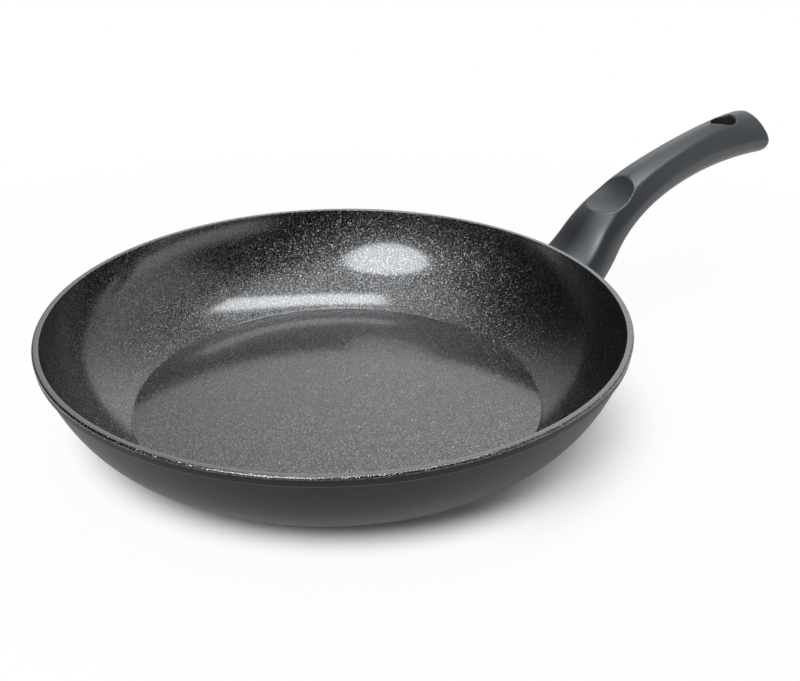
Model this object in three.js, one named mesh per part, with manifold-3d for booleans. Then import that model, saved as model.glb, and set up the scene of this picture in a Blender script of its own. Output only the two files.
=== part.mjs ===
// Aluminium frying pan with a screwed-on moulded handle.
// Millimetres, +Z up. Origin on the pan's axis at the underside of its base, handle along +X.

import * as THREE from 'three';
import { mergeVertices } from 'three/addons/utils/BufferGeometryUtils.js';
import Module from 'manifold-3d';

const wasm = await Module();
wasm.setup();

// Pan body
const RIM_RADIUS = 140;
const PAN_HEIGHT = 52.5;
const RIM_WIDTH = 3.4;
const RIM_BAND_HEIGHT = 4.2;
const RIM_FLARE = 1.35;
const RIM_BAND_PROUD = 0.3;
const RIM_OUTER_ROUND = 0.9;
const RIM_INNER_ROUND = 0.4;
const BASE_RADIUS = 92;
const WALL_TOP_LEAN = 19.3;
const WALL_TOP_FULLNESS = 0.74;
const WALL_FOOT_SLOPE = 23.4;
const WALL_FOOT_FULLNESS = 0.85;
const BOWL_TOP_LEAN = 10.3;
const BOWL_TOP_FULLNESS = 0.6;
const BOWL_FOOT_SLOPE = 20.6;
const BOWL_FOOT_FULLNESS = 0.745;
const CREASE_RADIUS = 100.3;
const CREASE_HEIGHT = 6.8;
const FLOOR_STEP = 0.7;
const FLOOR_STEP_RUN = 1.4;
const STEP_FACE_SHARE = 0.33;
const STEP_FILLET_SHARE = 0.6;

// Steel plate in the base and the aluminium keys in its holes
const PLATE_RADIUS = 77;
const PLATE_THICKNESS = 0.8;
const PLATE_HOLE_RADIUS = 3.2;
const PLATE_RINGS = 4;
const FIRST_RING_RADIUS = 21;
const RING_PITCH = 14;
const HOLES_PER_RING_STEP = 6;

// Stud on the wall and the screw that holds the handle
const STUD_AXIS_HEIGHT = 32;
const STUD_LENGTH = 15;
const STUD_RADIUS = 7.5;
const STUD_ACROSS_FLATS = 11;
const STUD_TAP_DEPTH = 12;
const SCREW_RADIUS = 2.5;
const SCREW_GRIP_DEPTH = 10.5;
const SCREW_POINT = 0.75;
const SCREW_HEAD_RADIUS = 4.7;
const SCREW_HEAD_HEIGHT = 3.2;
const SCREW_HEAD_SIDE = 1.4;
const SCREW_HEAD_FLAT = 2.6;
const SCREW_RECESS_DEPTH = 1.8;
const SCREW_RECESS_WIDTH = 1.2;
const SCREW_RECESS_SPAN = 5.2;
const WASHER_RADIUS = 4.5;
const WASHER_THICKNESS = 1.2;
const WASHER_SLIT = 1.0;
const SCREW_WEB = 7.5;

// Handle: path of its middle line from the wall outwards
const NECK_STRAIGHT = 10;
const NECK_RUN = 28;
const NECK_RISE = 17;
const NECK_REACH = 12;
const RISE_ANGLE = 50;
const RISE_REACH = 37.5;
const GRIP_OVERHANG = 160;
const GRIP_END_RISE = 53.8;
const GRIP_END_DROOP = 1;
const GRIP_END_REACH = 38.5;

// Handle: its section along that path
const ROOT_HALF_WIDTH = 25.5;
const WAIST_HALF_WIDTH = 14.3;
const END_HALF_WIDTH = 20.3;
const WAIST_AT = 0.68;
const ROOT_FLARE_POWER = 1.7;
const END_FLARE_POWER = 2;
const ROOT_CROWN = 12;
const GRIP_CROWN = 11;
const END_CROWN = 13.8;
const ROOT_BELLY = 12;
const END_BELLY = 10.2;
const END_ROUND = 2.5;

// Handle: thumb scoop and hanging hole, measured along the path
const THUMB_FROM_NECK = 58.5;
const THUMB_DEPTH = 5.3;
const THUMB_LENGTH_CURVE = 31;
const THUMB_CROSS_CURVE = 90;
const THUMB_TOOL_HEIGHT = 20;
const HOLE_FROM_END = 20.7;
const HOLE_RADIUS = 7;
const HOLE_TIP_REACH = 11.3;

// Fits
const SEAT_GAP = 0.3;
const SCREW_CLEARANCE = 0.4;
const POCKET_CLEARANCE = 1.0;
const CUT_OVERSHOOT = 1;

// Facet counts
const ROUND_FACETS = 72;
const HOLE_FACETS = 8;
const BORE_FACETS = 24;
const WALL_STEPS = 11;
const RIM_STEPS = 3;
const LIP_STEPS = 2;
const FLOOR_STEPS = 4;
const HEAD_STEPS = 3;
const GRIP_STATIONS = 44;
const SECTION_STEPS = 30;
const END_STEPS = 3;
const SCOOP_FACETS = 40;
const SCOOP_RINGS = 28;

// Half of the section, from the crown round to the belly: share of the half width, then share of the crown
// above or the belly below. The grip has a roof-like crown, and its end is rounder.
const GRIP_SECTION = [[0, 1], [0.36, 0.82], [0.67, 0.56], [1, -0.02], [0.75, -0.72], [0, -1]];
const END_SECTION = [[0, 1], [0.36, 0.86], [0.67, 0.62], [1, -0.02], [0.75, -0.72], [0, -1]];
// Shares of the handle's length between which its form eases from one stretch to the next
const NECK_EASE = [0, 0.5];
const GRIP_EASE = [0.5, 0.95];
const BELLY_EASE = [0, 0.6];
const END_EASE = [0.6, 1];

// Finishes
const COAT = { color: 0x4a4b4d, roughness: 0.35, metalness: 0.6 };
const PLATE_STEEL = { color: 0x9a9b9d, roughness: 0.35, metalness: 0.9 };
const BARE_ALUMINIUM = { color: 0xa9abae, roughness: 0.45, metalness: 0.9 };
const PHENOLIC = { color: 0x4d5154, roughness: 0.6, metalness: 0 };
const ZINC_PLATE = { color: 0xa3a5a8, roughness: 0.3, metalness: 0.9 };

const MERGE_TOLERANCE = 1e-4;
const HALVINGS = 40;
const rad = THREE.MathUtils.degToRad;
const lerp = THREE.MathUtils.lerp;

// Turns a closed geometry into a solid for joining and cutting.
function solidOf(geometry) {
  const bare = geometry.clone();
  bare.deleteAttribute('normal');
  bare.deleteAttribute('uv');
  const merged = mergeVertices(bare, MERGE_TOLERANCE);
  const index = merged.index.array;
  const corners = [];
  for (let i = 0; i < index.length; i += 3) {
    const [a, b, c] = [index[i], index[i + 1], index[i + 2]];
    if (a !== b && b !== c && c !== a) corners.push(a, b, c);
  }
  return new wasm.Manifold(new wasm.Mesh({
    numProp: 3,
    vertProperties: new Float32Array(merged.attributes.position.array),
    triVerts: new Uint32Array(corners),
  }));
}

// Turns a solid back into a geometry.
function geometryOf(solid) {
  const mesh = solid.getMesh();
  const geometry = new THREE.BufferGeometry();
  geometry.setAttribute('position', new THREE.BufferAttribute(mesh.vertProperties, 3));
  geometry.setIndex(new THREE.BufferAttribute(mesh.triVerts, 1));
  geometry.computeVertexNormals();
  return geometry;
}

// Revolves a profile of (radius, height) points about Z.
function revolve(profile, facets = ROUND_FACETS) {
  return solidOf(new THREE.LatheGeometry(profile, facets).rotateX(Math.PI / 2));
}

// Extrudes a shape drawn in (across, up) along +X from one station to another.
function extrudeAlongX(shape, from, to, segments) {
  const geometry = new THREE.ExtrudeGeometry(shape, {
    depth: to - from,
    bevelEnabled: false,
    curveSegments: segments,
  });
  const toX = new THREE.Matrix4().makeBasis(
    new THREE.Vector3(0, 1, 0),
    new THREE.Vector3(0, 0, 1),
    new THREE.Vector3(1, 0, 0),
  );
  return solidOf(geometry.applyMatrix4(toX).translate(from, 0, STUD_AXIS_HEIGHT));
}

// Outline of a regular polygon standing for a circle.
function circlePath(radius, facets, x = 0, y = 0) {
  const points = [];
  for (let i = 0; i < facets; i += 1) {
    const turn = (i / facets) * 2 * Math.PI;
    points.push(new THREE.Vector2(x + radius * Math.cos(turn), y + radius * Math.sin(turn)));
  }
  return points;
}

// Curve from the top of a wall to its foot: it leaves the top at a lean from the vertical, arrives at a
// slope from the horizontal, and each fullness says how far it follows that tangent to their corner.
function wallCurve(top, lean, topFullness, foot, slope, footFullness) {
  const down = new THREE.Vector2(-Math.sin(rad(lean)), -Math.cos(rad(lean)));
  const out = new THREE.Vector2(Math.cos(rad(slope)), Math.sin(rad(slope)));
  const span = foot.clone().sub(top);
  const along = span.cross(out) / down.cross(out);
  const corner = top.clone().addScaledVector(down, along);
  return new THREE.CubicBezierCurve(
    top,
    top.clone().lerp(corner, topFullness),
    foot.clone().lerp(corner, footFullness),
    foot,
  );
}

// Quarter-round from one direction to another about a centre, as a list of points.
function roundCorner(centre, radius, fromDegrees, toDegrees, steps) {
  const points = [];
  for (let i = 0; i <= steps; i += 1) {
    const turn = rad(lerp(fromDegrees, toDegrees, i / steps));
    points.push(new THREE.Vector2(
      centre.x + radius * Math.cos(turn),
      centre.y + radius * Math.sin(turn),
    ));
  }
  return points;
}

const wallTop = new THREE.Vector2(RIM_RADIUS - RIM_FLARE, PAN_HEIGHT - RIM_BAND_HEIGHT);
const bandFoot = new THREE.Vector2(wallTop.x + RIM_BAND_PROUD, wallTop.y);
const outerWall = wallCurve(
  wallTop,
  WALL_TOP_LEAN,
  WALL_TOP_FULLNESS,
  new THREE.Vector2(BASE_RADIUS, 0),
  WALL_FOOT_SLOPE,
  WALL_FOOT_FULLNESS,
);

const rimInnerRadius = RIM_RADIUS - RIM_WIDTH;
const bowlWall = wallCurve(
  new THREE.Vector2(rimInnerRadius, PAN_HEIGHT - RIM_INNER_ROUND),
  BOWL_TOP_LEAN,
  BOWL_TOP_FULLNESS,
  new THREE.Vector2(CREASE_RADIUS, CREASE_HEIGHT),
  BOWL_FOOT_SLOPE,
  BOWL_FOOT_FULLNESS,
);

// Radius of the outer wall at a height, by halving the interval of the curve's parameter.
function wallRadiusAt(height) {
  let [low, high] = [0, 1];
  for (let i = 0; i < HALVINGS; i += 1) {
    const middle = (low + high) / 2;
    if (outerWall.getPoint(middle).y > height) low = middle;
    else high = middle;
  }
  return outerWall.getPoint(low).x;
}

// Centres of the plate's holes: rings whose count grows outwards, each turned by half a step.
function plateHoleCentres() {
  const centres = [];
  for (let ring = 0; ring < PLATE_RINGS; ring += 1) {
    const radius = FIRST_RING_RADIUS + ring * RING_PITCH;
    const count = HOLES_PER_RING_STEP * (ring + 1);
    for (let i = 0; i < count; i += 1) {
      const turn = ((i + (ring % 2) / 2) / count) * 2 * Math.PI;
      centres.push(new THREE.Vector2(radius * Math.cos(turn), radius * Math.sin(turn)));
    }
  }
  return centres;
}

// Bowl: rim, band, wall and base outside, then the plate's seat; inside, the floor, its step and the bowl.
function panBody() {
  const seatRadius = PLATE_RADIUS + SEAT_GAP;
  const seatHeight = PLATE_THICKNESS + SEAT_GAP;
  const floorHeight = CREASE_HEIGHT - FLOOR_STEP;
  const stepCurve = new THREE.CubicBezierCurve(
    new THREE.Vector2(CREASE_RADIUS, CREASE_HEIGHT),
    new THREE.Vector2(CREASE_RADIUS - FLOOR_STEP_RUN * STEP_FACE_SHARE, floorHeight),
    new THREE.Vector2(CREASE_RADIUS - FLOOR_STEP_RUN * STEP_FILLET_SHARE, floorHeight),
    new THREE.Vector2(CREASE_RADIUS - FLOOR_STEP_RUN, floorHeight),
  );
  const innerRound = new THREE.Vector2(rimInnerRadius + RIM_INNER_ROUND, PAN_HEIGHT - RIM_INNER_ROUND);
  const outerRound = new THREE.Vector2(RIM_RADIUS - RIM_OUTER_ROUND, PAN_HEIGHT - RIM_OUTER_ROUND);
  const profile = [
    new THREE.Vector2(0, seatHeight),
    new THREE.Vector2(seatRadius, seatHeight),
    new THREE.Vector2(seatRadius, 0),
    ...outerWall.getPoints(WALL_STEPS).reverse(),
    bandFoot,
    ...roundCorner(outerRound, RIM_OUTER_ROUND, 0, 90, RIM_STEPS),
    ...roundCorner(innerRound, RIM_INNER_ROUND, 90, 180, LIP_STEPS),
    ...bowlWall.getPoints(WALL_STEPS).slice(1),
    ...stepCurve.getPoints(FLOOR_STEPS).slice(1),
    new THREE.Vector2(0, floorHeight),
  ];
  let body = revolve(profile);
  const keyRadius = PLATE_HOLE_RADIUS - SEAT_GAP;
  const keyRoot = (seatHeight + floorHeight) / 2;
  for (const centre of plateHoleCentres()) {
    const outline = new THREE.Shape(circlePath(keyRadius, HOLE_FACETS, centre.x, centre.y));
    const key = new THREE.ExtrudeGeometry(outline, { depth: keyRoot, bevelEnabled: false });
    body = body.add(solidOf(key));
  }
  return body;
}

// Solid envelope of the bowl's outside, grown by a gap: it trims what is seated on the wall.
function wallEnvelope(gap) {
  const grown = (curve, t) => {
    const tangent = curve.getTangent(t);
    return curve.getPoint(t).add(new THREE.Vector2(-tangent.y, tangent.x).multiplyScalar(gap));
  };
  const profile = [new THREE.Vector2(0, -gap)];
  for (let i = WALL_STEPS; i >= 0; i -= 1) profile.push(grown(outerWall, i / WALL_STEPS));
  profile.push(new THREE.Vector2(bandFoot.x + gap, bandFoot.y - gap));
  profile.push(new THREE.Vector2(RIM_RADIUS + gap, PAN_HEIGHT - RIM_OUTER_ROUND));
  profile.push(new THREE.Vector2(RIM_RADIUS + gap, PAN_HEIGHT + gap));
  profile.push(new THREE.Vector2(0, PAN_HEIGHT + gap));
  return revolve(profile);
}

// Steel disc with its rings of holes.
function inductionPlate() {
  const outline = new THREE.Shape(circlePath(PLATE_RADIUS, ROUND_FACETS));
  for (const centre of plateHoleCentres()) {
    outline.holes.push(new THREE.Path(circlePath(PLATE_HOLE_RADIUS, HOLE_FACETS, centre.x, centre.y)));
  }
  return solidOf(new THREE.ExtrudeGeometry(outline, { depth: PLATE_THICKNESS, bevelEnabled: false }));
}

// Stations along X. What is seated on the wall starts as a blank inside the bowl and is trimmed to the wall.
const wallAtStud = wallRadiusAt(STUD_AXIS_HEIGHT);
const studEnd = wallAtStud + STUD_LENGTH;
const blankStart = BASE_RADIUS;
const screwSeat = studEnd + SEAT_GAP + SCREW_WEB;
const washerStart = screwSeat + SEAT_GAP;
const headStart = washerStart + WASHER_THICKNESS + SEAT_GAP;

// Section of the stud: a round with two flats that stop the handle from turning.
function studShape(gap) {
  const radius = STUD_RADIUS + gap;
  const flat = STUD_ACROSS_FLATS / 2 + gap;
  const corner = Math.asin(flat / radius);
  const shape = new THREE.Shape();
  shape.absarc(0, 0, radius, -corner, corner, false);
  shape.absarc(0, 0, radius, Math.PI - corner, Math.PI + corner, false);
  shape.closePath();
  return shape;
}

function roundShape(radius) {
  return new THREE.Shape(circlePath(radius, BORE_FACETS));
}

function handleStud(envelope) {
  const blank = extrudeAlongX(studShape(0), blankStart, studEnd, BORE_FACETS / 2);
  const tapped = roundShape(SCREW_RADIUS + SEAT_GAP);
  const tap = extrudeAlongX(tapped, studEnd - STUD_TAP_DEPTH, studEnd + CUT_OVERSHOOT);
  return blank.subtract(envelope).subtract(tap);
}

// Pan-head screw along -X, with a cross recess in its head.
function handleScrew() {
  const headEnd = headStart + SCREW_HEAD_HEIGHT;
  const tip = studEnd - SCREW_GRIP_DEPTH;
  const shank = headStart - tip;
  const top = shank + SCREW_HEAD_HEIGHT;
  const crown = new THREE.QuadraticBezierCurve(
    new THREE.Vector2(SCREW_HEAD_RADIUS, shank + SCREW_HEAD_SIDE),
    new THREE.Vector2(SCREW_HEAD_RADIUS, top),
    new THREE.Vector2(SCREW_HEAD_FLAT, top),
  );
  const profile = [
    new THREE.Vector2(0, 0),
    new THREE.Vector2(SCREW_RADIUS - SCREW_POINT, 0),
    new THREE.Vector2(SCREW_RADIUS, SCREW_POINT),
    new THREE.Vector2(SCREW_RADIUS, shank),
    new THREE.Vector2(SCREW_HEAD_RADIUS, shank),
    ...crown.getPoints(HEAD_STEPS),
    new THREE.Vector2(0, top),
  ];
  const lathe = new THREE.LatheGeometry(profile, BORE_FACETS).rotateZ(-Math.PI / 2);
  let screw = solidOf(lathe.translate(tip, 0, STUD_AXIS_HEIGHT));
  for (const turn of [0, Math.PI / 2]) {
    const slot = new THREE.BoxGeometry(2 * SCREW_RECESS_DEPTH, SCREW_RECESS_SPAN, SCREW_RECESS_WIDTH);
    screw = screw.subtract(solidOf(slot.rotateX(turn).translate(headEnd, 0, STUD_AXIS_HEIGHT)));
  }
  return screw;
}

// Split ring under the screw head.
function lockWasher() {
  const inner = SCREW_RADIUS + SCREW_CLEARANCE;
  const slit = Math.asin(WASHER_SLIT / 2 / inner);
  const outerSlit = Math.asin(WASHER_SLIT / 2 / WASHER_RADIUS);
  const shape = new THREE.Shape();
  shape.absarc(0, 0, WASHER_RADIUS, outerSlit, 2 * Math.PI - outerSlit, false);
  shape.absarc(0, 0, inner, 2 * Math.PI - slit, slit, true);
  shape.closePath();
  return extrudeAlongX(shape, washerStart, washerStart + WASHER_THICKNESS, BORE_FACETS);
}

// Middle line of the handle: straight out of the wall, a neck that bends up, then the arch of the grip.
const neckStart = new THREE.Vector3(wallAtStud + NECK_STRAIGHT, 0, STUD_AXIS_HEIGHT);
const riseDirection = new THREE.Vector3(Math.cos(rad(RISE_ANGLE)), 0, Math.sin(rad(RISE_ANGLE)));
const endDirection = new THREE.Vector3(Math.cos(rad(GRIP_END_DROOP)), 0, -Math.sin(rad(GRIP_END_DROOP)));
const riseStart = neckStart.clone().add(new THREE.Vector3(NECK_RUN, 0, NECK_RISE));
const gripEnd = new THREE.Vector3(RIM_RADIUS + GRIP_OVERHANG, 0, STUD_AXIS_HEIGHT + GRIP_END_RISE);
const handlePath = new THREE.CurvePath();
handlePath.add(new THREE.LineCurve3(new THREE.Vector3(blankStart, 0, STUD_AXIS_HEIGHT), neckStart));
handlePath.add(new THREE.CubicBezierCurve3(
  neckStart,
  neckStart.clone().add(new THREE.Vector3(NECK_REACH, 0, 0)),
  riseStart.clone().addScaledVector(riseDirection, -NECK_REACH),
  riseStart,
));
handlePath.add(new THREE.CubicBezierCurve3(
  riseStart,
  riseStart.clone().addScaledVector(riseDirection, RISE_REACH),
  gripEnd.clone().addScaledVector(endDirection, -GRIP_END_REACH),
  gripEnd,
));
const pathLength = handlePath.getLength();
const neckAt = neckStart.x - blankStart;

// Place on the middle line at a distance along it, with its directions along, across and up.
function stationAt(distance) {
  const share = THREE.MathUtils.clamp(distance / pathLength, 0, 1);
  const along = handlePath.getTangentAt(share);
  return new THREE.Matrix4().makeBasis(
    along,
    new THREE.Vector3(0, 1, 0),
    new THREE.Vector3(-along.z, 0, along.x),
  ).setPosition(handlePath.getPointAt(share));
}

// Half width, crown, belly and outline of the grip at a distance along the middle line.
function sectionAt(distance) {
  const share = THREE.MathUtils.clamp((distance - neckAt) / (pathLength - neckAt), 0, 1);
  const ease = ([from, to]) => THREE.MathUtils.smoothstep(share, from, to);
  const toRoot = Math.max(0, 1 - share / WAIST_AT);
  const toEnd = Math.max(0, (share - WAIST_AT) / (1 - WAIST_AT));
  const halfWidth = WAIST_HALF_WIDTH
    + (ROOT_HALF_WIDTH - WAIST_HALF_WIDTH) * toRoot ** ROOT_FLARE_POWER
    + (END_HALF_WIDTH - WAIST_HALF_WIDTH) * toEnd ** END_FLARE_POWER;
  const crown = lerp(lerp(ROOT_CROWN, GRIP_CROWN, ease(NECK_EASE)), END_CROWN, ease(GRIP_EASE));
  const belly = lerp(ROOT_BELLY, END_BELLY, ease(BELLY_EASE));
  const outline = GRIP_SECTION.map(([side, rise], i) => [
    lerp(side, END_SECTION[i][0], ease(END_EASE)),
    lerp(rise, END_SECTION[i][1], ease(END_EASE)),
  ]);
  return { halfWidth, crown, belly, outline };
}

// One ring of the grip's section, shrunk towards its middle by an inset.
function sectionRing(distance, inset, ahead) {
  const { halfWidth, crown, belly, outline } = sectionAt(distance);
  const point = ([side, rise]) => new THREE.Vector3(
    ahead,
    side * (halfWidth - inset),
    rise * ((rise > 0 ? crown : belly) - inset),
  );
  const right = outline.map(point);
  const left = outline.slice(1, -1).reverse().map(([side, rise]) => point([-side, rise]));
  const loop = new THREE.CatmullRomCurve3([...right, ...left], true);
  const ring = loop.getPoints(SECTION_STEPS).slice(0, SECTION_STEPS);
  const place = stationAt(distance);
  return ring.map((corner) => corner.applyMatrix4(place));
}

// Skin through a list of rings, closed by a fan at each end.
function loft(rings) {
  const count = rings[0].length;
  const positions = rings.flat().flatMap((corner) => corner.toArray());
  const index = [];
  for (let r = 0; r + 1 < rings.length; r += 1) {
    for (let i = 0; i < count; i += 1) {
      const next = (i + 1) % count;
      const [a, b, c, d] = [r * count + i, r * count + next, (r + 1) * count + next, (r + 1) * count + i];
      index.push(a, c, b, a, d, c);
    }
  }
  const last = (rings.length - 1) * count;
  for (let i = 1; i + 1 < count; i += 1) {
    index.push(0, i, i + 1);
    index.push(last, last + i + 1, last + i);
  }
  const geometry = new THREE.BufferGeometry();
  geometry.setAttribute('position', new THREE.Float32BufferAttribute(positions, 3));
  geometry.setIndex(index);
  return solidOf(geometry);
}

// Arched grip: rings along the middle line, then a few that shrink to round the end.
function gripBlank() {
  const rings = [];
  const bodyLength = pathLength - END_ROUND;
  for (let i = 0; i < GRIP_STATIONS; i += 1) {
    rings.push(sectionRing((i / GRIP_STATIONS) * bodyLength, 0, 0));
  }
  for (let i = 0; i <= END_STEPS; i += 1) {
    const turn = (i / END_STEPS) * (Math.PI / 2);
    rings.push(sectionRing(bodyLength, END_ROUND * (1 - Math.cos(turn)), END_ROUND * Math.sin(turn)));
  }
  return loft(rings);
}

// Ellipsoid that scoops the oval thumb rest out of the crown.
function thumbTool() {
  const distance = neckAt + THUMB_FROM_NECK;
  const tool = new THREE.SphereGeometry(1, SCOOP_FACETS, SCOOP_RINGS).rotateX(Math.PI / 2);
  tool.scale(
    Math.sqrt(THUMB_LENGTH_CURVE * THUMB_TOOL_HEIGHT),
    Math.sqrt(THUMB_CROSS_CURVE * THUMB_TOOL_HEIGHT),
    THUMB_TOOL_HEIGHT,
  );
  tool.translate(0, 0, sectionAt(distance).crown - THUMB_DEPTH + THUMB_TOOL_HEIGHT);
  return solidOf(tool.applyMatrix4(stationAt(distance)));
}

// Teardrop prism through the grip, its tip towards the pan.
function holeTool() {
  const distance = pathLength - HOLE_FROM_END;
  const { crown, belly } = sectionAt(distance);
  const touch = Math.PI - Math.acos(HOLE_RADIUS / HOLE_TIP_REACH);
  const shape = new THREE.Shape();
  shape.absarc(0, 0, HOLE_RADIUS, -touch, touch, false);
  shape.lineTo(-HOLE_TIP_REACH, 0);
  shape.closePath();
  const tool = new THREE.ExtrudeGeometry(shape, {
    depth: 2 * (crown + belly),
    bevelEnabled: false,
    curveSegments: BORE_FACETS,
  });
  return solidOf(tool.translate(0, 0, -crown - belly).applyMatrix4(stationAt(distance)));
}

// Phenolic handle: the grip trimmed to the wall, with its scoop, hanging hole, stud socket and screw pocket.
function handle(envelope) {
  const socket = extrudeAlongX(studShape(SEAT_GAP), blankStart, studEnd + SEAT_GAP, BORE_FACETS / 2);
  const clearance = roundShape(SCREW_RADIUS + SCREW_CLEARANCE);
  const bore = extrudeAlongX(clearance, studEnd, screwSeat + CUT_OVERSHOOT);
  const pocket = extrudeAlongX(roundShape(SCREW_HEAD_RADIUS + POCKET_CLEARANCE), screwSeat, gripEnd.x);
  return gripBlank()
    .subtract(envelope)
    .subtract(thumbTool())
    .subtract(holeTool())
    .subtract(socket)
    .subtract(bore)
    .subtract(pocket);
}

function piece(name, solid, finish) {
  const mesh = new THREE.Mesh(geometryOf(solid), new THREE.MeshStandardMaterial(finish));
  mesh.name = name;
  return mesh;
}

const seatEnvelope = wallEnvelope(SEAT_GAP);
const pan = new THREE.Group();
pan.add(
  piece('pan_body', panBody(), COAT),
  piece('induction_plate', inductionPlate(), PLATE_STEEL),
);
const handleGroup = new THREE.Group();
handleGroup.add(
  piece('handle_stud', handleStud(seatEnvelope), BARE_ALUMINIUM),
  piece('handle', handle(seatEnvelope), PHENOLIC),
  piece('lock_washer', lockWasher(), ZINC_PLATE),
  piece('handle_screw', handleScrew(), ZINC_PLATE),
);
pan.add(handleGroup);

export default pan;
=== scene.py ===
import math

import bmesh
import bpy
from mathutils import Matrix, Vector


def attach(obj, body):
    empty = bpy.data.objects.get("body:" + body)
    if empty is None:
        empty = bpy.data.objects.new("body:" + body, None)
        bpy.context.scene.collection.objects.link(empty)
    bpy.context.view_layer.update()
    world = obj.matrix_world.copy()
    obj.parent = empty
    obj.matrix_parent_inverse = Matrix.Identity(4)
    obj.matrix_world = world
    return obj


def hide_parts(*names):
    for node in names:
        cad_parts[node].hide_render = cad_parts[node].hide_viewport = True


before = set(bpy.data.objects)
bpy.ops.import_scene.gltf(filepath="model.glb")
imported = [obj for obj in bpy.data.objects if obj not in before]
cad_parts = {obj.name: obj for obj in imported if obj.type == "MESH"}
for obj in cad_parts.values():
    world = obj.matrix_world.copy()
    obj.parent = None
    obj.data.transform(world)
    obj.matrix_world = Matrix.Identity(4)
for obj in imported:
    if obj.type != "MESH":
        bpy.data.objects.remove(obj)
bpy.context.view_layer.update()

# Pan body: one pressed and turned aluminium bowl with a thick flat rim, a plain band under it and a floor
# coined one small step below the wall. Inside it is sprayed with a glossy flecked ceramic coat that ends on
# the rim's outer edge. Outside it has a satin dark grey paint, and its base is left bare.
MM = 0.001
RIM_RADIUS = 140 * MM
PAN_HEIGHT = 52.9 * MM
RIM_WIDTH = 3.4 * MM
LIP_RADIUS = 139.9 * MM
RIM_SHOULDER = 1.1 * MM
RIM_INNER_ROUND = 0.4 * MM
BAND_HEIGHT = 4.6 * MM
BAND_FLARE = 1.35 * MM
BAND_PROUD = 0.75 * MM
BAND_ROUND = 0.25 * MM
BASE_RADIUS = 92 * MM
BASE_ROUND = 0.8 * MM
WALL_TOP_LEAN = 19.3
WALL_TOP_FULLNESS = 0.74
WALL_FOOT_SLOPE = 23.4
WALL_FOOT_FULLNESS = 0.85
BOWL_TOP_LEAN = 9.9
BOWL_TOP_FULLNESS = 0.58
BOWL_FOOT_SLOPE = 23
BOWL_FOOT_FULLNESS = 0.74
CREASE_RADIUS = 100.3 * MM
CREASE_HEIGHT = 6.8 * MM
CREASE_ROUND = 0.1 * MM
FLOOR_HEIGHT = 6.55 * MM
FLOOR_MARGIN = 2 * MM
FLOOR_RINGS = (60 * MM, 20 * MM)
STEP_RUN = 0.7 * MM
STEP_FACE_SHARE = 0.33
STEP_FILLET_SHARE = 0.6
SEAT_RADIUS = 77.3 * MM
SEAT_HEIGHT = 1.1 * MM
SEAT_EDGE = 0.15 * MM
SEAT_INNER_SHARE = 0.4
BASE_LAND = 6 * MM
PAN_FACETS = 288
CORNER_FULLNESS = 0.6
SMOOTH_ANGLE = math.radians(35)
MERGE_REACH = 1e-6


def bezier(points, steps):
    """Points along a cubic curve, both ends included."""
    a, b, c, d = (Vector(p) for p in points)
    curve = []
    for i in range(steps + 1):
        t = i / steps
        s = 1 - t
        curve.append(a * s**3 + b * (3 * s * s * t) + c * (3 * s * t * t) + d * t**3)
    return curve


def wall_curve(top, lean, top_fullness, foot, slope, foot_fullness, steps):
    """Wall from its top, which leans from the vertical, to its foot, which slopes from the horizontal."""
    top, foot = Vector(top), Vector(foot)
    down = Vector((-math.sin(math.radians(lean)), -math.cos(math.radians(lean))))
    out = Vector((math.cos(math.radians(slope)), math.sin(math.radians(slope))))
    corner = top + down * ((foot - top).cross(out) / down.cross(out))
    return bezier((top, top.lerp(corner, top_fullness), foot.lerp(corner, foot_fullness), foot), steps)


def arc(centre, radius, start, end, steps):
    """Points on a circle between two angles in degrees."""
    turns = (math.radians(start + (end - start) * i / steps) for i in range(steps + 1))
    return [Vector((centre[0] + radius * math.cos(a), centre[1] + radius * math.sin(a))) for a in turns]


def soften(before, corner, after, reach, steps):
    """Points that round a corner between two neighbours, leaving it by a reach on each side."""
    before, corner, after = Vector(before), Vector(corner), Vector(after)
    start = corner + (before - corner).normalized() * reach
    end = corner + (after - corner).normalized() * reach
    pulls = (p.lerp(corner, CORNER_FULLNESS) for p in (start, end))
    return bezier((start, *pulls, end), steps)


def start_piece(add, **sizes):
    """Adds a primitive with nothing else selected, and opens it for editing."""
    bpy.ops.object.select_all(action="DESELECT")
    add(**sizes)
    piece = bpy.context.active_object
    bpy.ops.object.transform_apply(location=True, rotation=True, scale=True)
    bpy.ops.object.mode_set(mode="EDIT")
    return piece


def end_piece(piece, name):
    """Closes the editing, with doubles merged, faces turned outwards and round faces shaded smooth."""
    bpy.ops.mesh.select_all(action="SELECT")
    bpy.ops.mesh.remove_doubles(threshold=MERGE_REACH)
    bpy.ops.mesh.normals_make_consistent(inside=False)
    bpy.ops.object.mode_set(mode="OBJECT")
    bpy.ops.object.shade_smooth_by_angle(angle=SMOOTH_ANGLE)
    piece.name = name
    return piece


def select_open_edge():
    """Selects the edge round an open face, ready to be drawn out."""
    bpy.ops.mesh.select_all(action="DESELECT")
    bpy.ops.mesh.select_mode(type="EDGE")
    bpy.ops.mesh.select_non_manifold()


def turn_on_axis(outline, name):
    """Draws a ring out along an outline of (radius, height) points, from one middle face to the other."""
    radius, height = outline[0]
    piece = start_piece(
        bpy.ops.mesh.primitive_circle_add,
        vertices=PAN_FACETS, radius=radius, fill_type="NGON", location=(0, 0, height),
    )
    select_open_edge()
    for next_radius, next_height in outline[1:]:
        bpy.ops.mesh.extrude_region_move(TRANSFORM_OT_translate={"value": (0, 0, next_height - height)})
        spread = next_radius / radius
        bpy.ops.transform.resize(value=(spread, spread, 1), center_override=(0, 0, next_height))
        radius, height = next_radius, next_height
    bpy.ops.mesh.edge_face_add()
    return end_piece(piece, name)


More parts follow.
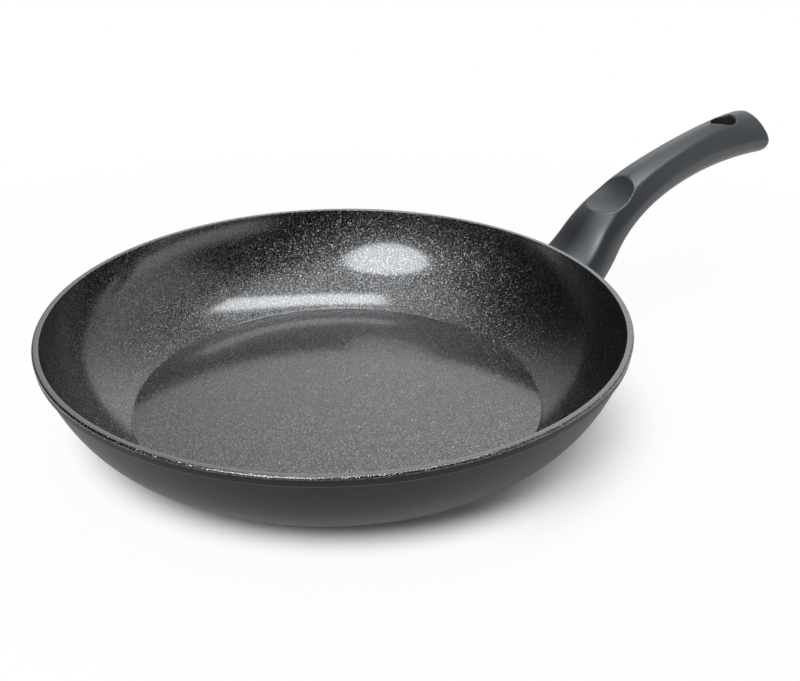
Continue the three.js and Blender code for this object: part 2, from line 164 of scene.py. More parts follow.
ridge_radius = RIM_RADIUS - BAND_FLARE
ridge_height = PAN_HEIGHT - BAND_HEIGHT
crest_radius = RIM_RADIUS - RIM_WIDTH + RIM_INNER_ROUND
shoulder_radius = LIP_RADIUS - RIM_SHOULDER
lip_height = PAN_HEIGHT - RIM_SHOULDER
outer_wall = wall_curve(
    (ridge_radius, ridge_height), WALL_TOP_LEAN, WALL_TOP_FULLNESS,
    (BASE_RADIUS, 0), WALL_FOOT_SLOPE, WALL_FOOT_FULLNESS, steps=40,
)[::-1]
bowl_wall = wall_curve(
    (RIM_RADIUS - RIM_WIDTH, PAN_HEIGHT - RIM_INNER_ROUND), BOWL_TOP_LEAN, BOWL_TOP_FULLNESS,
    (CREASE_RADIUS, CREASE_HEIGHT), BOWL_FOOT_SLOPE, BOWL_FOOT_FULLNESS, steps=48,
)
step = bezier(
    (
        (CREASE_RADIUS, CREASE_HEIGHT),
        (CREASE_RADIUS - STEP_RUN * STEP_FACE_SHARE, FLOOR_HEIGHT),
        (CREASE_RADIUS - STEP_RUN * STEP_FILLET_SHARE, FLOOR_HEIGHT),
        (CREASE_RADIUS - STEP_RUN, FLOOR_HEIGHT),
    ),
    steps=10,
)
step_below_crease = step[3:]
underside = [
    Vector((SEAT_RADIUS * SEAT_INNER_SHARE, SEAT_HEIGHT)),
    Vector((SEAT_RADIUS, SEAT_HEIGHT)),
    Vector((SEAT_RADIUS, SEAT_EDGE)),
    Vector((SEAT_RADIUS + SEAT_EDGE, 0)),
    Vector((SEAT_RADIUS + BASE_LAND, 0)),
]
foot_round = soften(underside[-1], (BASE_RADIUS, 0), outer_wall[1], BASE_ROUND, steps=4)
band_foot = (ridge_radius + BAND_PROUD, ridge_height)
band = soften(outer_wall[-1], band_foot, (LIP_RADIUS, lip_height), BAND_ROUND, steps=4)
shoulder = arc((shoulder_radius, lip_height), RIM_SHOULDER, 0, 90, steps=10)
inner_lip = arc((crest_radius, PAN_HEIGHT - RIM_INNER_ROUND), RIM_INNER_ROUND, 90, 180, steps=4)
crease = soften(
    bowl_wall[-2], (CREASE_RADIUS, CREASE_HEIGHT), step_below_crease[0], CREASE_ROUND, steps=3
)
floor_edge = CREASE_RADIUS - STEP_RUN - FLOOR_MARGIN
pan_floor = [Vector((radius, FLOOR_HEIGHT)) for radius in (floor_edge, *FLOOR_RINGS)]
outside = underside + foot_round + outer_wall[1:] + band + shoulder
inside = inner_lip + bowl_wall[1:-1] + crease + step_below_crease + pan_floor
pan_body = turn_on_axis([tuple(p) for p in outside + inside], "pan_bowl")

PLATE_RINGS = 4
FIRST_RING = 21 * MM
RING_PITCH = 14 * MM
HOLES_PER_RING_STEP = 6
HOLE_FACETS = 32
KEY_RADIUS = 2.9 * MM
KEY_TOP = 3 * MM


def plate_holes(radius, low, high, name):
    """One round peg for each hole of the base plate, in rings; every second ring is turned half a step."""
    pegs = start_piece(bpy.ops.mesh.primitive_circle_add, vertices=3, radius=1)
    bpy.ops.mesh.delete(type="VERT")
    for ring in range(PLATE_RINGS):
        reach = FIRST_RING + RING_PITCH * ring
        count = HOLES_PER_RING_STEP * (ring + 1)
        for i in range(count):
            turn = 2 * math.pi * (i + ring % 2 / 2) / count
            bpy.ops.mesh.primitive_cylinder_add(
                vertices=HOLE_FACETS, radius=radius, depth=high - low,
                location=(reach * math.cos(turn), reach * math.sin(turn), (low + high) / 2),
            )
    return end_piece(pegs, name)


def combine(piece, tool, operation):
    """Joins a tool's shape to a piece or takes it out, and throws the tool away."""
    bpy.ops.object.select_all(action="DESELECT")
    bpy.context.view_layer.objects.active = piece
    cut = piece.modifiers.new("combine", "BOOLEAN")
    cut.operation = operation
    cut.solver = "EXACT"
    cut.object = tool
    bpy.ops.object.modifier_apply(modifier=cut.name)
    bpy.data.objects.remove(tool)


combine(pan_body, plate_holes(KEY_RADIUS, 0, KEY_TOP, "key_tool"), "UNION")


class Wire:
    """A shader socket that takes part in Python arithmetic; each step of an expression adds a Math node."""

    def __init__(self, finish, socket):
        self.finish = finish
        self.socket = socket

    def maths(self, operation, first, second):
        return self.finish.node("ShaderNodeMath", {"operation": operation}, {0: first, 1: second})

    def __add__(self, other):
        return self.maths("ADD", self, other)

    def __sub__(self, other):
        return self.maths("SUBTRACT", self, other)

    def __rsub__(self, other):
        return self.maths("SUBTRACT", other, self)

    def __mul__(self, other):
        return self.maths("MULTIPLY", self, other)

    def __pow__(self, other):
        return self.maths("POWER", self, other)

    def __gt__(self, other):
        return self.maths("GREATER_THAN", self, other)

    def at_least(self, other):
        return self.maths("MAXIMUM", self, other)

    __radd__ = __add__
    __rmul__ = __mul__


class Finish:
    """A node tree being written: a material's, or the world's."""

    def __init__(self, owner):
        owner.use_nodes = True
        self.owner = owner
        self.tree = owner.node_tree
        self.tree.nodes.clear()

    def node(self, kind, settings=None, sockets=None, out=0):
        """One node: its settings first, then the values or wires of its sockets, by name or number."""
        made = self.tree.nodes.new(kind)
        for name, value in (settings or {}).items():
            setattr(made, name, value)
        for name, value in (sockets or {}).items():
            usable = [s for s in made.inputs if s.enabled]
            socket = usable[name] if isinstance(name, int) else next(s for s in usable if s.name == name)
            if isinstance(value, Wire):
                self.tree.links.new(value.socket, socket)
            else:
                socket.default_value = value
        return Wire(self, made.outputs[out]) if made.outputs else None

    def place(self):
        """Object coordinates, in metres."""
        return self.node("ShaderNodeTexCoord", out="Object")

    def axes(self, vector):
        """X, Y and Z of a vector."""
        first = self.node("ShaderNodeSeparateXYZ", sockets={0: vector})
        return [Wire(self, s) for s in first.socket.node.outputs]

    def vector(self, operation, *values, out="Vector"):
        """A step of vector maths."""
        return self.node("ShaderNodeVectorMath", {"operation": operation}, dict(enumerate(values)), out)

    def ease(self, value, low, high):
        """0 below low, 1 above high, smooth between."""
        span = {"Value": value, "From Min": low, "From Max": high}
        return self.node("ShaderNodeMapRange", {"interpolation_type": "SMOOTHSTEP"}, span)

    def noise(self, place, scale, detail):
        """A cloudy value about 0.5."""
        return self.node("ShaderNodeTexNoise", sockets={"Vector": place, "Scale": scale, "Detail": detail})

    def bump(self, height, strength, distance):
        """Fine relief for a surface's normal."""
        relief = {"Strength": strength, "Distance": distance, "Height": height}
        return self.node("ShaderNodeBump", sockets=relief)

    def blend(self, share, first, second):
        """Mixes two colours."""
        colours = {"Factor": share, "A": first, "B": second}
        return self.node("ShaderNodeMix", {"data_type": "RGBA"}, colours, out=2)

    def surface(self, **sockets):
        """Principled surface into the output; an underscore in a name stands for a space."""
        named = {name.replace("_", " "): value for name, value in sockets.items()}
        body = self.node("ShaderNodeBsdfPrincipled", sockets=named)
        self.node("ShaderNodeOutputMaterial", sockets={"Surface": body})
        return self.owner


def grey(level, tint=0.0):
    """A grey with a little blue in it, as linear colour."""
    return (level * (1 - tint), level, level * (1 + tint), 1)


def hypotenuse(a, b):
    """Length of two values laid square to each other."""
    return (a * a + b * b) ** 0.5


FLECK_SCALE = 4200.0
FLECK_SHARE = 0.17
FLECK_TILT = 0.6
COAT_ROUGHNESS = 0.13
COAT_IOR = 1.75
FADE = 0.1 * MM


def ceramic_coat():
    """Glossy black ceramic over metal flecks a quarter of a millimetre across, each at its own small tilt.

    The flat strip on top of the rim is plain dark grey.
    """
    finish = Finish(bpy.data.materials.new("flecked_ceramic_coat"))
    place = finish.place()
    cells = {"Vector": place, "Scale": FLECK_SCALE}
    chance, sheen, _ = finish.axes(finish.node("ShaderNodeTexVoronoi", sockets=cells, out="Color"))
    cell = finish.node("ShaderNodeTexVoronoi", sockets=cells, out="Position")
    dice = finish.node("ShaderNodeTexWhiteNoise", sockets={"Vector": cell}, out="Color")
    x, y, _ = finish.axes(place)
    radius = hypotenuse(x, y)
    rim = finish.ease(radius, crest_radius - FADE, crest_radius)
    strip = rim - finish.ease(radius, shoulder_radius, shoulder_radius + 2 * FADE)
    fleck = (chance > 1 - FLECK_SHARE) * (1 - strip)
    black = grey(0.002, 0.03)
    rim_grey = grey(0.078, 0.02)
    metal = grey(0.36, 0.02)
    colour = finish.blend(fleck, finish.blend(strip, black, rim_grey), metal)
    upright = finish.node("ShaderNodeTexCoord", out="Normal")
    lean = finish.vector("SUBTRACT", dice, (0.5, 0.5, 0.5))
    tilted = finish.vector("MULTIPLY_ADD", lean, (FLECK_TILT,) * 3, upright)
    return finish.surface(
        Base_Color=colour, Metallic=fleck, Roughness=0.24 + 0.08 * sheen,
        Normal=finish.vector("NORMALIZE", tilted), Specular_IOR_Level=0.1,
        Coat_Weight=1.0, Coat_Roughness=COAT_ROUGHNESS, Coat_IOR=COAT_IOR,
    )


SPRAY_RAGGED = 1.6 * MM


def satin_paint():
    """Satin grey paint with a painted highlight line on the band's lower edge, and the ceramic's black edge
    on the lip.

    The ceramic's spray line is ragged, with pale spots along it that are painted glints.
    """
    finish = Finish(bpy.data.materials.new("satin_grey_paint"))
    place = finish.place()
    height = finish.axes(place)[2]
    ragged = finish.noise(place, scale=700.0, detail=3.0)
    spray = height + (ragged - 0.5) * SPRAY_RAGGED
    lap = finish.ease(spray, lip_height - 2 * FADE, lip_height + FADE)
    # Painted glints: pale spots along the spray line stand in for sparkles of light on the glossy lip.
    dots = finish.noise(place, scale=1500.0, detail=1.0)
    painted_glints = 4 * lap * (1 - lap) * finish.ease(dots, low=0.5, high=0.56)
    # Painted highlight: a pale grey line on the band's lower edge stands in for the floor's reflection in
    # that rounded edge.
    edge = finish.ease(height, ridge_height - 3 * FADE, ridge_height)
    painted_ridge_highlight = edge * (1 - finish.ease(height, ridge_height + 2 * FADE, ridge_height + 4 * FADE))
    grain = finish.noise(place, scale=2600.0, detail=2.0)
    drift = finish.noise(place, scale=30.0, detail=3.0)
    paint = finish.blend(0.7 * drift + 0.3 * grain, grey(0.009, 0.03), grey(0.013, 0.03))
    paint = finish.blend(painted_ridge_highlight, paint, grey(0.09, 0.02))
    colour = finish.blend(painted_glints, finish.blend(lap, paint, grey(0.004, 0.03)), grey(0.1, 0.02))
    return finish.surface(
        Base_Color=colour, Roughness=0.42 + 0.06 * drift, Specular_IOR_Level=0.24,
        Normal=finish.bump(grain, strength=0.12, distance=0.03 * MM),
        Coat_Weight=lap, Coat_Roughness=COAT_ROUGHNESS, Coat_IOR=COAT_IOR,
    )


def turned_aluminium(name, ring_scale):
    """Bare aluminium with the fine rings that a lathe tool leaves round the Z axis."""
    finish = Finish(bpy.data.materials.new(name))
    place = finish.place()
    x, y, _ = finish.axes(place)
    lines = {"W": hypotenuse(x, y), "Scale": ring_scale, "Detail": 3.0}
    rings = finish.node("ShaderNodeTexNoise", {"noise_dimensions": "1D"}, lines)
    stain = finish.noise(place, scale=45.0, detail=4.0)
    return finish.surface(
        Base_Color=finish.blend(0.6 * rings + 0.4 * stain, grey(0.42, 0.01), grey(0.62, 0.01)),
        Metallic=1.0, Roughness=0.3 + 0.2 * stain,
        Normal=finish.bump(rings, strength=0.3, distance=0.04 * MM),
    )


PAINTED, BARE = 1, 2
BARE_BELOW = 1.5 * SEAT_HEIGHT
OUTWARD = 0.95
pan_body.data.materials.append(ceramic_coat())
pan_body.data.materials.append(satin_paint())
pan_body.data.materials.append(turned_aluminium("turned_base_aluminium", ring_scale=900.0))
for face in pan_body.data.polygons:
    outward = face.normal.xy.dot(face.center.xy.normalized())
    if face.center.z < BARE_BELOW and face.center.xy.length < BASE_RADIUS - BASE_ROUND:
        face.material_index = BARE
    elif outward > OUTWARD or face.normal.z < 0:
        face.material_index = PAINTED
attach(pan_body, "root")
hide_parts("pan_body")

# Handle: one dark grey phenolic moulding with a flared root shaped to the wall, an arched grip with a
# crease along each side of its crown, an oval thumb scoop and a teardrop hanging hole. A screw in a pocket
# below the grip draws it on to the stud.
STUD_HEIGHT = 32 * MM
NECK_STRAIGHT = 10 * MM
NECK_RUN = 28 * MM
NECK_RISE = 17 * MM
NECK_REACH = 12 * MM
RISE_ANGLE = math.radians(50)
RISE_REACH = 37.5 * MM
GRIP_OVERHANG = 160 * MM
GRIP_END_RISE = 53.8 * MM
GRIP_END_DROOP = math.radians(1)
GRIP_END_REACH = 38.5 * MM
TANGENT_REACH = 2

wall_lines = sorted((p.y, p.x) for p in outer_wall)
wall_at_stud = next(
    near + (far - near) * (STUD_HEIGHT - low) / (high - low)
    for (low, near), (high, far) in zip(wall_lines, wall_lines[1:]) if high >= STUD_HEIGHT
)
neck = Vector((wall_at_stud + NECK_STRAIGHT, 0, STUD_HEIGHT))
neck_pull = neck + Vector((NECK_REACH, 0, 0))
rise_start = neck + Vector((NECK_RUN, 0, NECK_RISE))
grip_end = Vector((RIM_RADIUS + GRIP_OVERHANG, 0, STUD_HEIGHT + GRIP_END_RISE))
rise = Vector((math.cos(RISE_ANGLE), 0, math.sin(RISE_ANGLE)))
droop = Vector((math.cos(GRIP_END_DROOP), 0, -math.sin(GRIP_END_DROOP)))
rise_pull = rise_start + rise * RISE_REACH
end_pull = grip_end - droop * GRIP_END_REACH
middle_line = [Vector((BASE_RADIUS, 0, STUD_HEIGHT))]
middle_line += bezier((neck, neck_pull, rise_start - rise * NECK_REACH, rise_start), steps=200)
middle_line += bezier((rise_start, rise_pull, end_pull, grip_end), steps=600)[1:]
distances = [0.0]
for near, far in zip(middle_line, middle_line[1:]):
    distances.append(distances[-1] + (far - near).length)
grip_length = distances[-1]
neck_at = distances[1]


def station(distance):
    """Place on the middle line, with X along it, Y across and Z up out of it."""
    last = len(distances) - 1
    i = next((k for k, d in enumerate(distances) if d >= distance and k > 0), last)
    near, far = middle_line[i - 1], middle_line[i]
    point = near.lerp(far, (distance - distances[i - 1]) / (distances[i] - distances[i - 1]))
    before = middle_line[max(i - 1 - TANGENT_REACH, 0)]
    after = middle_line[min(i + TANGENT_REACH, last)]
    along = (after - before if i > 1 else far - near).normalized()
    turned = Matrix(((along.x, 0, -along.z), (0, 1, 0), (along.z, 0, along.x))).to_4x4()
    return Matrix.Translation(point) @ turned


def eased(share, low, high):
    """0 to 1, smooth, between two shares of the handle's length."""
    t = min(max((share - low) / (high - low), 0), 1)
    return t * t * (3 - 2 * t)


def mixed(a, b, t):
    """A size on the way from one to another."""
    return a + (b - a) * t


def closed_spline(points, count):
    """Centripetal curve through a closed loop of points, in even steps of its parameter."""
    loop = []
    total = len(points)
    for i in range(count):
        place = i / count * total
        k, t = int(place), place - int(place)
        a, b, c, d = (points[(k + j) % total] for j in (-1, 0, 1, 2))
        ab, bc, cd = ((q - p).length ** 0.5 for p, q in ((a, b), (b, c), (c, d)))
        start = ((b - a) / ab - (c - a) / (ab + bc) + (c - b) / bc) * bc
        end = ((c - b) / bc - (d - b) / (bc + cd) + (d - c) / cd) * bc
        loop.append(
            b * (2 * t**3 - 3 * t * t + 1) + c * (3 * t * t - 2 * t**3)
            + start * (t**3 - 2 * t * t + t) + end * (t**3 - t * t)
        )
    return loop


# Half sections from the crown to the belly, as shares of the half width and of the crown or the belly.
ROOT_SECTION = (
    (0, 0.83), (0.42, 0.715), (0.71, 0.52), (0.8, 0.32), (0.88, 0.08),
    (0.94, -0.25), (0.9, -0.62), (0.54, -0.93), (0, -1),
)
GRIP_SECTION = (
    (0, 0.94), (0.34, 0.86), (0.57, 0.74), (0.68, 0.56), (0.84, 0.29),
    (0.95, 0), (0.95, -0.36), (0.7, -0.77), (0, -1),
)
END_SECTION = (
    (0, 1), (0.3, 0.9), (0.5, 0.765), (0.68, 0.58), (0.88, 0.3),
    (0.99, 0.02), (0.95, -0.36), (0.7, -0.76), (0, -1),
)
ROOT_TO_GRIP = (0.15, 0.5)
GRIP_TO_END = (0.6, 1)
ROOT_HALF_WIDTH = 25.5 * MM
WAIST_HALF_WIDTH = 14.3 * MM
END_HALF_WIDTH = 20.3 * MM
WAIST_AT = 0.68
ROOT_FLARE_POWER = 1.7
END_FLARE_POWER = 2
ROOT_CROWN = 12 * MM
GRIP_CROWN = 11 * MM
END_CROWN = 13.8 * MM
CROWN_FALLS = (0, 0.5)
CROWN_RISES = (0.5, 0.95)
ROOT_BELLY = 12 * MM
END_BELLY = 10.2 * MM
BELLY_THINS = (0, 0.6)
END_ROUND = 2.5 * MM
END_STEPS = 6
GRIP_POINTS = 84
GRIP_STEP = 1.2 * MM


def crown_at(share):
    """Height of the grip above its middle line."""
    crown = mixed(ROOT_CROWN, GRIP_CROWN, eased(share, *CROWN_FALLS))
    return mixed(crown, END_CROWN, eased(share, *CROWN_RISES))


def grip_ring(distance, inset, ahead):
    """The grip's section at a distance, shrunk by an inset and pushed ahead of its station."""
    share = min(max((distance - neck_at) / (grip_length - neck_at), 0), 1)
    root_flare = max(0, 1 - share / WAIST_AT) ** ROOT_FLARE_POWER
    end_flare = max(0, (share - WAIST_AT) / (1 - WAIST_AT)) ** END_FLARE_POWER
    half_width = (
        WAIST_HALF_WIDTH
        + (ROOT_HALF_WIDTH - WAIST_HALF_WIDTH) * root_flare
        + (END_HALF_WIDTH - WAIST_HALF_WIDTH) * end_flare
    )
    crown = crown_at(share)
    belly = mixed(ROOT_BELLY, END_BELLY, eased(share, *BELLY_THINS))
    to_grip = eased(share, *ROOT_TO_GRIP)
    to_end = eased(share, *GRIP_TO_END)
    outline = [
        Vector(root).lerp(Vector(grip), to_grip).lerp(Vector(end), to_end)
        for root, grip, end in zip(ROOT_SECTION, GRIP_SECTION, END_SECTION)
    ]
    outline += [Vector((-p.x, p.y)) for p in outline[-2:0:-1]]
    corners = [
        Vector((ahead, p.x * (half_width - inset), p.y * ((crown if p.y > 0 else belly) - inset)))
        for p in outline
    ]
    place = station(distance)
    return [place @ corner for corner in closed_spline(corners, GRIP_POINTS)]


body_length = grip_length - END_ROUND
body_steps = round(body_length / GRIP_STEP)
rings = [grip_ring(body_length * i / body_steps, 0, 0) for i in range(body_steps)]
for i in range(END_STEPS + 1):
    turn = math.radians(90 * i / END_STEPS)
    rings.append(grip_ring(body_length, END_ROUND * (1 - math.cos(turn)), END_ROUND * math.sin(turn)))

handle = start_piece(
    bpy.ops.mesh.primitive_circle_add, vertices=GRIP_POINTS, radius=ROOT_HALF_WIDTH, fill_type="NGON"
)
mesh = bmesh.from_edit_mesh(handle.data)
mesh.verts.ensure_lookup_table()
for corner, place in zip(mesh.verts, rings[0]):
    corner.co = place
select_open_edge()
for before, ring in zip(rings, rings[1:]):
    bpy.ops.mesh.extrude_region_move()
    mesh = bmesh.from_edit_mesh(handle.data)
    for corner in [v for v in mesh.verts if v.select]:
        corner.co = ring[min(range(GRIP_POINTS), key=lambda k: (before[k] - corner.co).length_squared)]
bmesh.update_edit_mesh(handle.data)
bpy.ops.mesh.edge_face_add()
end_piece(handle, "grip")

# The root is cut to the wall with a little air between, and the scoop, hole and pocket are cut after it.
PIECE_GAP = 0.3 * MM
GAP_OUT_SHARE = 0.9
GAP_DOWN_SHARE = 0.4
TOOL_CORE = 20 * MM
tool_top = PAN_HEIGHT + PIECE_GAP
envelope = turn_on_axis(
    [(TOOL_CORE, -PIECE_GAP)]
    + [(p.x + PIECE_GAP * GAP_OUT_SHARE, p.y - PIECE_GAP * GAP_DOWN_SHARE) for p in outer_wall]
    + [(RIM_RADIUS + PIECE_GAP, lip_height), (RIM_RADIUS + PIECE_GAP, tool_top), (TOOL_CORE, tool_top)],
    "wall_tool",
)
combine(handle, envelope, "DIFFERENCE")

THUMB_FROM_NECK = 58.5 * MM
THUMB_DEPTH = 5.1 * MM
THUMB_HEIGHT = 20 * MM
THUMB_LONG_CURVE = 31 * MM
THUMB_CROSS_CURVE = 90 * MM
THUMB_CROWN_SHARE = 0.93
thumb_crown = crown_at(THUMB_FROM_NECK / (grip_length - neck_at)) * THUMB_CROWN_SHARE
scoop = start_piece(bpy.ops.mesh.primitive_uv_sphere_add, segments=160, ring_count=96, radius=1)
half_length = math.sqrt(THUMB_LONG_CURVE * THUMB_HEIGHT)
half_span = math.sqrt(THUMB_CROSS_CURVE * THUMB_HEIGHT)
bpy.ops.transform.resize(value=(half_length, half_span, THUMB_HEIGHT), center_override=(0, 0, 0))
bpy.ops.transform.translate(value=(0, 0, thumb_crown - THUMB_DEPTH + THUMB_HEIGHT))
end_piece(scoop, "scoop_tool")
scoop.data.transform(station(neck_at + THUMB_FROM_NECK))
combine(handle, scoop, "DIFFERENCE")

HOLE_FROM_END = 20.7 * MM
HOLE_RADIUS = 7 * MM
HOLE_TIP = 11.3 * MM
HOLE_TOOL_HEIGHT = 80 * MM
hole = start_piece(
    bpy.ops.mesh.primitive_circle_add,
    vertices=96, radius=HOLE_RADIUS, fill_type="NGON", location=(0, 0, -HOLE_TOOL_HEIGHT / 2),
)
mesh = bmesh.from_edit_mesh(hole.data)
touch = math.acos(HOLE_RADIUS / HOLE_TIP)
for corner in mesh.verts:
    side = math.atan2(corner.co.y, -corner.co.x)
    if abs(side) < touch:
        corner.co.x = -HOLE_TIP + abs(corner.co.y) * math.tan(touch)
bmesh.update_edit_mesh(hole.data)
bpy.ops.mesh.select_all(action="SELECT")
bpy.ops.mesh.extrude_region_move(TRANSFORM_OT_translate={"value": (0, 0, HOLE_TOOL_HEIGHT)})
end_piece(hole, "hole_tool")
hole.data.transform(station(grip_length - HOLE_FROM_END))
combine(handle, hole, "DIFFERENCE")

POCKET_RADIUS = 5.7 * MM
POCKET_FROM_WALL = 22.8 * MM
POCKET_LENGTH = 150 * MM
pocket = start_piece(
    bpy.ops.mesh.primitive_cylinder_add, vertices=64, radius=POCKET_RADIUS, depth=POCKET_LENGTH,
    location=(wall_at_stud + POCKET_FROM_WALL + POCKET_LENGTH / 2, 0, STUD_HEIGHT),
    rotation=(0, math.radians(90), 0),
)
end_piece(pocket, "pocket_tool")
combine(handle, pocket, "DIFFERENCE")

skin = handle.modifiers.new("even_skin", "REMESH")
skin.mode = "VOXEL"
skin.voxel_size = 0.6 * MM
skin.use_smooth_shade = True
rounding = handle.modifiers.new("moulded_edges", "SMOOTH")
rounding.factor = 0.5
rounding.iterations = 6
bpy.context.view_layer.objects.active = handle
bpy.ops.object.modifier_apply(modifier=skin.name)
bpy.ops.object.modifier_apply(modifier=rounding.name)


def moulded_phenolic():
    """Matte dark grey thermoset with a very fine even grain and a faint cloudiness."""
    finish = Finish(bpy.data.materials.new("moulded_phenolic"))
    place = finish.place()
    grain = finish.noise(place, scale=1700.0, detail=2.0)
    cloud = finish.noise(place, scale=40.0, detail=3.0)
    return finish.surface(
        Base_Color=finish.blend(0.5 * grain + 0.5 * cloud, grey(0.018, 0.08), grey(0.026, 0.08)),
        Roughness=0.34 + 0.08 * cloud, Normal=finish.bump(grain, strength=0.45, distance=0.07 * MM),
        Specular_IOR_Level=1.0, Specular_Tint=grey(1.0, 0.04),
    )


handle.data.materials.clear()
handle.data.materials.append(moulded_phenolic())
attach(handle, "root")
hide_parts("handle")

# Base plate: a disc of magnetic stainless steel that lets the pan heat on an induction hob. It is pressed
# flush into the base, and the aluminium that fills its holes holds it.
PLATE_RADIUS = 77 * MM
PLATE_THICKNESS = 0.8 * MM
PLATE_FACETS = 192
HOLE_IN_PLATE = 3.2 * MM
HOLE_TOOL_LOW = -1 * MM
HOLE_TOOL_HIGH = 2 * MM
PLATE_EDGE = 0.12 * MM
PLATE_SMOOTH_ANGLE = math.radians(20)
plate = start_piece(
    bpy.ops.mesh.primitive_cylinder_add, vertices=PLATE_FACETS, radius=PLATE_RADIUS, depth=PLATE_THICKNESS
)
bpy.ops.transform.translate(value=(0, 0, PLATE_THICKNESS / 2))
end_piece(plate, "base_plate")
combine(plate, plate_holes(HOLE_IN_PLATE, HOLE_TOOL_LOW, HOLE_TOOL_HIGH, "hole_tool"), "DIFFERENCE")
edges = plate.modifiers.new("pressed_edges", "BEVEL")
edges.width = PLATE_EDGE
edges.segments = 2
edges.limit_method = "ANGLE"
bpy.ops.object.modifier_apply(modifier=edges.name)
plate.select_set(True)
bpy.ops.object.shade_smooth_by_angle(angle=PLATE_SMOOTH_ANGLE)

BRUSH_STRETCH = (60.0, 4000.0, 60.0)


def brushed_steel(name, low, high):
    """Steel with fine straight brush lines along one way and a faint stain."""
    finish = Finish(bpy.data.materials.new(name))
    place = finish.place()
    stretched = finish.node("ShaderNodeMapping", sockets={"Vector": place, "Scale": BRUSH_STRETCH})
    brush = finish.noise(stretched, scale=1.0, detail=3.0)
    stain = finish.noise(place, scale=35.0, detail=4.0)
    return finish.surface(
        Base_Color=finish.blend(0.6 * brush + 0.4 * stain, grey(low), grey(high)),
        Metallic=1.0, Roughness=0.26 + 0.2 * stain,
        Normal=finish.bump(brush, strength=0.25, distance=0.03 * MM),
    )


plate.data.materials.append(brushed_steel("brushed_plate_steel", low=0.4, high=0.56))
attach(plate, "root")
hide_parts("induction_plate")

# Stud, washer and screw: a turned aluminium stud is welded to the wall inside the handle's root, and a zinc
# plated cross-head screw with a split washer draws the handle on to it from the pocket below the grip.
for node, finish in (
    ("handle_stud", turned_aluminium("stud_aluminium_bare", ring_scale=2500.0)),
    ("lock_washer", brushed_steel("washer_zinc", low=0.45, high=0.62)),
    ("handle_screw", brushed_steel("screw_zinc", low=0.48, high=0.66)),
):
    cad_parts[node].material_slots[0].material = finish

# Floor and light: a pale table under two soft boxes, one above the far right and one above the near left,
# among white cards that only the pan's reflections show. The table is white to the eye outside the pan's
# shade, and it is clear from below and to the base that stands on it.
CAMERA_RIGHT = (0.796, -0.605, 0)
CAMERA_AWAY = (0.605, 0.796, 0)
TABLE_DROP = 0.2 * MM
BASE_GLIMPSE = 3 * MM
BASE_PRINT = 100 * MM
BASE_PRINT_FADE = 8 * MM
SHADE_SQUEEZE = 0.864
SHADE_TO_RIGHT = 5 * MM
NEAR_SHADE = (97 * MM, 121 * MM)
RIGHT_SHADE = (80 * MM, 140 * MM)
RIGHT_SIDE = (45 * MM, 100 * MM)
FAR_SHADE = (280 * MM, 450 * MM)
FAR_SHADE_SHARE = 0.06
bpy.ops.object.select_all(action="DESELECT")
bpy.ops.mesh.primitive_plane_add(size=8, location=(0, 0, -TABLE_DROP))
floor = bpy.context.active_object
floor.name = "pale_floor"


def along(finish, vector, direction):
    """How far a place or a look lies along a direction."""
    return finish.vector("DOT_PRODUCT", vector, direction, out="Value")


def ray(finish, kind):
    """What is known of the ray that meets a surface."""
    return finish.node("ShaderNodeLightPath", out=kind)


def layered(finish, share, first, second):
    """Mixes two surfaces or two lights."""
    return finish.node("ShaderNodeMixShader", sockets={0: share, 1: first, 2: second})


def pale_table():
    """Pale top that glows white round the pan's shade and lets short rays from the base pass."""
    finish = Finish(bpy.data.materials.new("pale_table"))
    place = finish.place()
    across = SHADE_SQUEEZE * (along(finish, place, CAMERA_RIGHT) - SHADE_TO_RIGHT)
    distance = hypotenuse(across, along(finish, place, CAMERA_AWAY))
    near = finish.ease(distance, *NEAR_SHADE)
    beside = finish.ease(distance, *RIGHT_SHADE)
    shade_edge = near + (beside - near) * finish.ease(across, *RIGHT_SIDE)
    far_edge = finish.ease(distance, *FAR_SHADE)
    unshaded = (1 - FAR_SHADE_SHARE) * shade_edge + FAR_SHADE_SHARE * far_edge
    seen = ray(finish, "Is Camera Ray") + ray(finish, "Is Glossy Ray") + ray(finish, "Is Transmission Ray")
    table = finish.node("ShaderNodeBsdfDiffuse", sockets={"Color": grey(0.82, -0.02)})
    white = finish.node("ShaderNodeEmission", sockets={"Color": grey(1.0), "Strength": 1.0})
    lit = layered(finish, seen * unshaded, table, white)
    from_base = 1 - (ray(finish, "Ray Length") > BASE_GLIMPSE)
    under_base = finish.ease(BASE_PRINT - distance, 0.0, BASE_PRINT_FADE)
    below = finish.node("ShaderNodeNewGeometry", out="Backfacing")
    clear = finish.node("ShaderNodeBsdfTransparent")
    shown = layered(finish, below.at_least(from_base * under_base), lit, clear)
    finish.node("ShaderNodeOutputMaterial", sockets={"Surface": shown})
    return finish.owner


floor.data.materials.append(pale_table())

FAR_CARD_AT = (0.64, 0.64, 0.42)
LEFT_CARD_AT = (-0.642, -0.266, 0.72)
LOW_CARD_AT = (0.604, -0.797, 0)
LEFT_CARD_GLOW = 0.65
RIGHT_CARD_GLOW = 0.55
CEILING_GLOW = 0.95
LOW_CARD_GLOW = 0.9
BELOW_GLOW = 0.45
world = bpy.data.worlds.new("white_studio")
bpy.context.scene.world = world
sky = Finish(world)
look = sky.node("ShaderNodeTexCoord", out="Generated")
upward = sky.axes(look)[2]
rightward = along(sky, look, CAMERA_RIGHT)
awayward = along(sky, look, CAMERA_AWAY)
far_card = along(sky, look, FAR_CARD_AT).at_least(0.0) ** 6.0
left_card = LEFT_CARD_GLOW * along(sky, look, LEFT_CARD_AT).at_least(0.0) ** 8.0
right_card = RIGHT_CARD_GLOW * sky.ease(rightward, low=0.3, high=1.0)
right_card = right_card * sky.ease(upward, low=-0.1, high=0.4) * sky.ease(awayward, low=-0.5, high=-0.1)
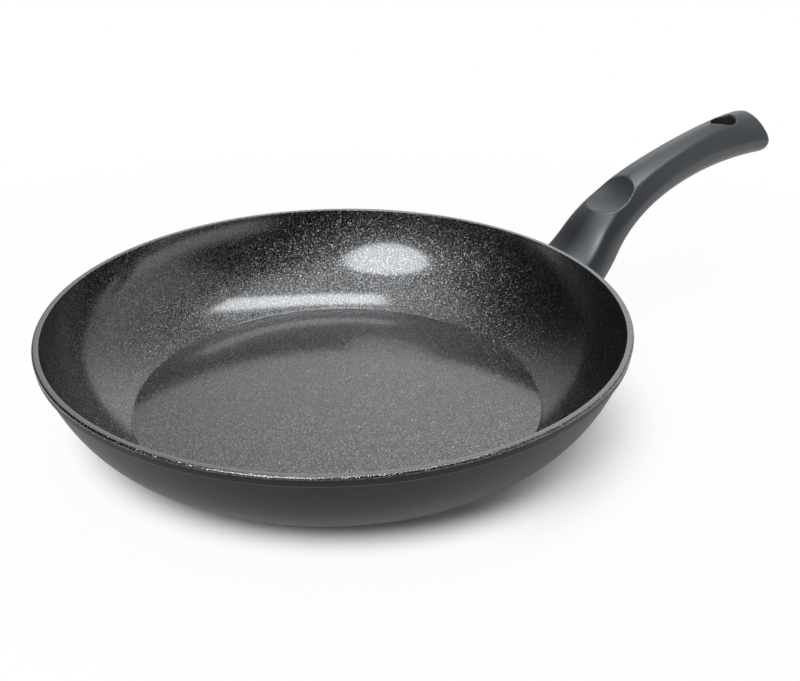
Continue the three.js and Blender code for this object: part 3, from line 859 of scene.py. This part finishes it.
ceiling = CEILING_GLOW * sky.ease(upward, low=0.75, high=0.98)
low_card = LOW_CARD_GLOW * (1 - sky.ease(upward, low=0.1, high=0.3))
low_card = low_card * sky.ease(along(sky, look, LOW_CARD_AT), low=0.6, high=0.9)
below_pan = BELOW_GLOW * (1 - sky.ease(upward, low=-0.7, high=-0.2))
uncarded = (1 - far_card) * (1 - ceiling) * (1 - right_card) * (1 - left_card)
cards = 1 - uncarded * (1 - low_card) * (1 - below_pan)


def sky_light(colour, strength):
    """One even light from all round."""
    return sky.node("ShaderNodeBackground", sockets={"Color": colour, "Strength": strength})


mirrored = ray(sky, "Is Glossy Ray") + ray(sky, "Is Transmission Ray")
reflected = layered(sky, cards, sky_light(grey(1.0), 0.01), sky_light(grey(1.0, 0.02), 1.3))
lighting = layered(sky, mirrored, sky_light(grey(1.0, 0.01), 0.5), reflected)
shown = layered(sky, ray(sky, "Is Camera Ray"), lighting, sky_light(grey(1.0), 1.0))
sky.node("ShaderNodeOutputWorld", sockets={"Surface": shown})


def soft_box(name, shape, place, aim, turn, width, height, radiance):
    """A soft box aimed at a point and turned about its aim, with an even glow of that strength."""
    box = bpy.data.lights.new(name, "AREA")
    box.shape = shape
    box.size = width
    box.size_y = height
    area = width * height * (math.pi / 4 if shape == "ELLIPSE" else 1)
    box.energy = radiance * math.pi * area
    box.color = grey(1.0, 0.025)[:3]
    lamp = bpy.data.objects.new(name, box)
    lamp.location = place
    lamp.rotation_mode = "QUATERNION"
    spin = Matrix.Rotation(math.radians(turn), 3, "Z").to_quaternion()
    lamp.rotation_quaternion = (Vector(aim) - Vector(place)).to_track_quat("-Z", "Y") @ spin
    bpy.context.scene.collection.objects.link(lamp)


soft_box(
    "near_left_box", "ELLIPSE", place=(-0.772, -0.355, 1.05), aim=(0.05, 0.1, 0.03),
    turn=0, width=0.74, height=0.92, radiance=6.5,
)
soft_box(
    "overhead_box", "RECTANGLE", place=(0.319, 0.122, 1.3), aim=(0.319, 0.122, 0),
    turn=-37, width=0.76, height=0.27, radiance=6.5,
)

# Camera: a moderate lens above the near left of the pan, held level. It looks down into the bowl, with the
# handle going away to the right.
CAMERA_PLACE = (-0.2699, -0.40493, 0.28797)
CAMERA_LOOK = (0.5383, 0.7073, -0.4582)
lens = bpy.data.cameras.new("photo_camera")
lens.sensor_width = 36
lens.lens = 50.92
camera = bpy.data.objects.new("photo_camera", lens)
camera.location = CAMERA_PLACE
camera.rotation_mode = "QUATERNION"
camera.rotation_quaternion = Vector(CAMERA_LOOK).to_track_quat("-Z", "Y")
bpy.context.scene.collection.objects.link(camera)
bpy.context.scene.camera = camera
bpy.context.scene.view_settings.view_transform = "Standard"
